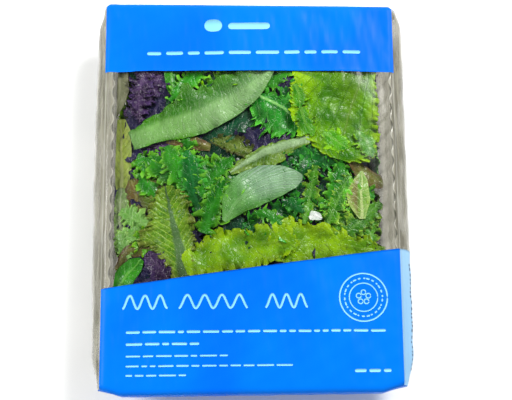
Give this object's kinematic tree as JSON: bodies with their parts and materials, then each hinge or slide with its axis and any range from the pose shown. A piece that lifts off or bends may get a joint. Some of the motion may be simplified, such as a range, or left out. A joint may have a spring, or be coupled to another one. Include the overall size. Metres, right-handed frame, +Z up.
{
  "type": "bag of salad leaves",
  "caption": "Clear film bag of mixed salad leaves in a fluted tray, with printed end fields and a window, lying on its flat back.",
  "frame": {"origin": "centre of the bag's footprint on the table, at the height of its flat back", "axes": "+X across the bag to its right gusset, +Y along it to its top end, +Z up from the back to the window"},
  "size_m": [0.2088, 0.2636, 0.0514],
  "materials": {
    "clear_film": "clear glossy packaging film, softly creased",
    "printed_film": "glossy bright blue print on film",
    "pale_print": "pale cyan print on film",
    "clear_tray": "clear thermoformed tray with fluted walls",
    "green_leaf": "fresh green salad leaf, moist sheen",
    "dark_leaf": "dark curly salad leaf, moist sheen",
    "red_leaf": "purple-red salad leaf, moist sheen",
    "pale_leaf": "pale rib and inner salad leaf, moist sheen"
  },
  "bodies": {
    "root": {"salad_bag": "clear_film"}
  },
  "joints": []
}
